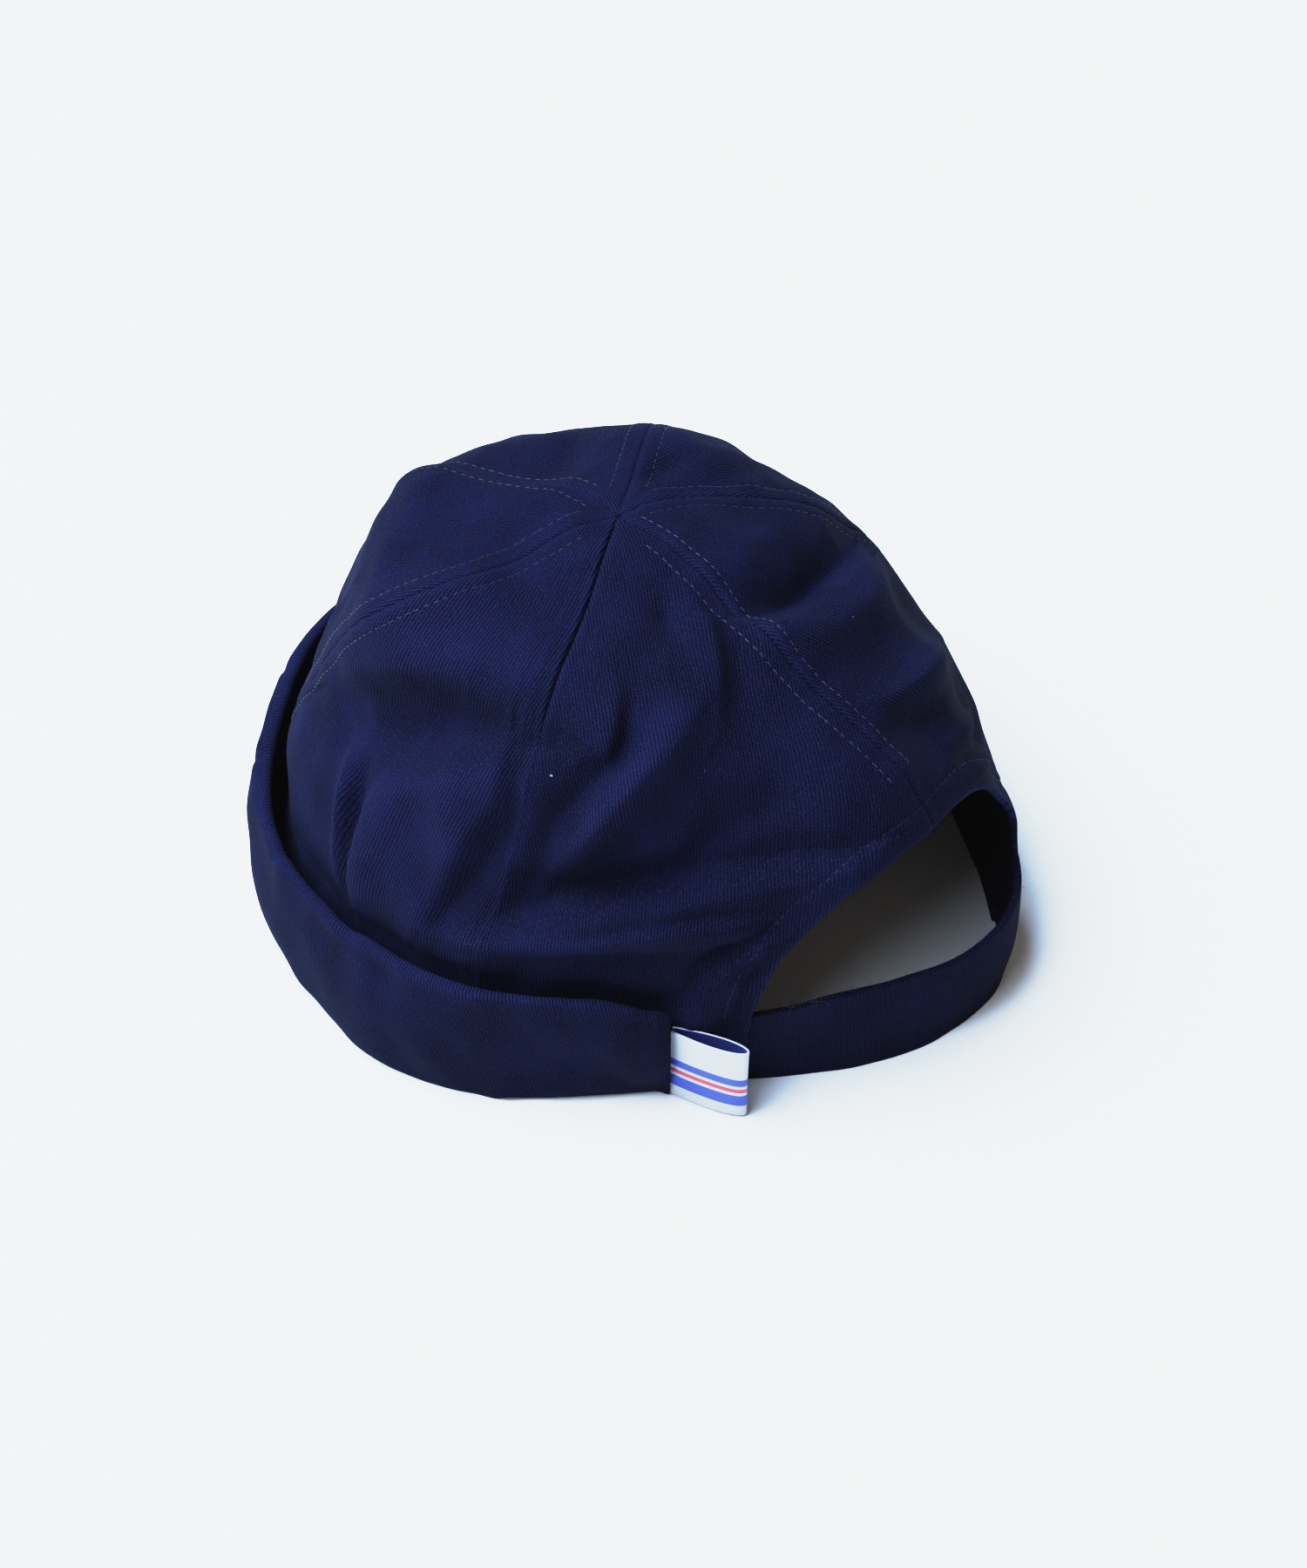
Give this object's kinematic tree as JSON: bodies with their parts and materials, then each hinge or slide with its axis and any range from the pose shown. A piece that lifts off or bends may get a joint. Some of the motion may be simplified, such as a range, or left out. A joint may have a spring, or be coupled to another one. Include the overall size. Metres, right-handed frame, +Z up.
{
  "type": "fisherman cap",
  "caption": "Brimless six-panel cotton-twill cap with a turned-up cuff, an arched back opening, a plain cloth strap across it and a small folded ribbon at the cuff's end.",
  "frame": {"origin": "on the surface the cap rests on, at the middle of its bounding box", "axes": "+X to the wearer's left, +Y to the wearer's back, +Z up from the rim to the crown"},
  "size_m": [0.191, 0.2066, 0.1205],
  "materials": {
    "twill": "matte woven cotton twill",
    "cuff_twill": "matte woven cotton twill",
    "strap_twill": "matte woven cotton twill",
    "ribbon": "woven ribbon with a slight sheen"
  },
  "bodies": {
    "root": {"panel_back_left": "twill", "panel_left": "twill", "panel_front_left": "twill", "panel_front_right": "twill", "panel_right": "twill", "panel_back_right": "twill", "cuff": "cuff_twill", "back_strap": "strap_twill", "loop_label": "ribbon"}
  },
  "joints": []
}
